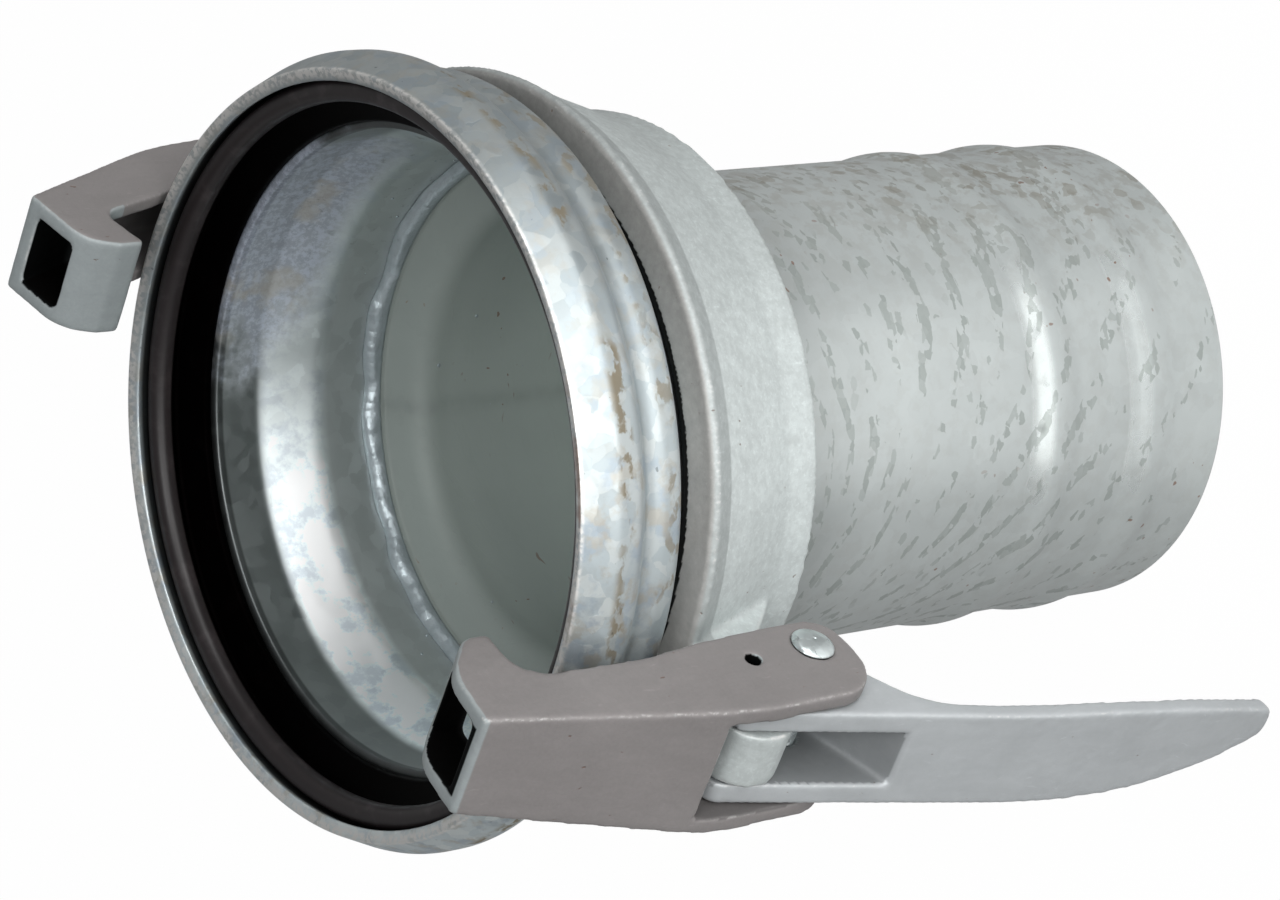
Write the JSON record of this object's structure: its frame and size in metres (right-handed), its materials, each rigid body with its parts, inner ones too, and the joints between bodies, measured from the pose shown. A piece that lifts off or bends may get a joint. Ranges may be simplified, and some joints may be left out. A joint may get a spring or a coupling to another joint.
{
  "type": "hose coupling, female half with lever clamp",
  "caption": "Galvanised female hose coupling: seal and socket in a flared bell, loose clamp ring with over-centre lever claw and hinged hook, beaded hose tail.",
  "frame": {"origin": "centre of the hose end face, on the axis of the tube", "axes": "+Z along the axis to the mouth, +X to the lever, -X to the hook"},
  "size_m": [0.2244, 0.1608, 0.2292],
  "materials": {
    "galvanised_tube": "hot-dip galvanised, mottled",
    "galvanised_sheet": "hot-dip galvanised, spangled",
    "weld_metal": "bright galvanised weld bead",
    "seal_rubber": "glossy black",
    "ring_casting": "galvanised casting, satin and speckled",
    "lever_casting": "satin zinc on cast iron",
    "claw_casting": "matte brownish grey casting",
    "zinc_pin": "zinc plated"
  },
  "bodies": {
    "coupling": {"hose_tube": "galvanised_tube", "bell_shell": "galvanised_sheet", "inner_socket": "galvanised_sheet", "weld_seam": "weld_metal", "seal_ring": "seal_rubber"},
    "ring": {"clamp_ring": "ring_casting"},
    "lever": {"lever": "lever_casting", "lever_pin": "zinc_pin"},
    "claw": {"claw": "claw_casting", "claw_pin": "zinc_pin"},
    "hook": {"hook": "claw_casting", "hook_pin": "zinc_pin"}
  },
  "joints": [
    {"name": "ring_swivel", "type": "hinge", "parent": "coupling", "child": "ring", "pos_m": [0, 0, 0.15], "axis": [0, 0, 1], "continuous": true},
    {"name": "lever_throw", "type": "hinge", "parent": "ring", "child": "lever", "pos_m": [0.093, 0, 0.166], "axis": [0, -1, 0], "range_deg": [0, 105]},
    {"name": "claw_swing", "type": "hinge", "parent": "lever", "child": "claw", "pos_m": [0.09, 0, 0.1504], "axis": [0, -1, 0], "range_deg": [-105, 0]},
    {"name": "hook_swing", "type": "hinge", "parent": "ring", "child": "hook", "pos_m": [-0.093, 0, 0.166], "axis": [0, -1, 0], "range_deg": [0, 150]}
  ],
  "couplings": [
    {"joint": "claw_swing", "follows": "lever_throw", "ratio": -1}
  ]
}
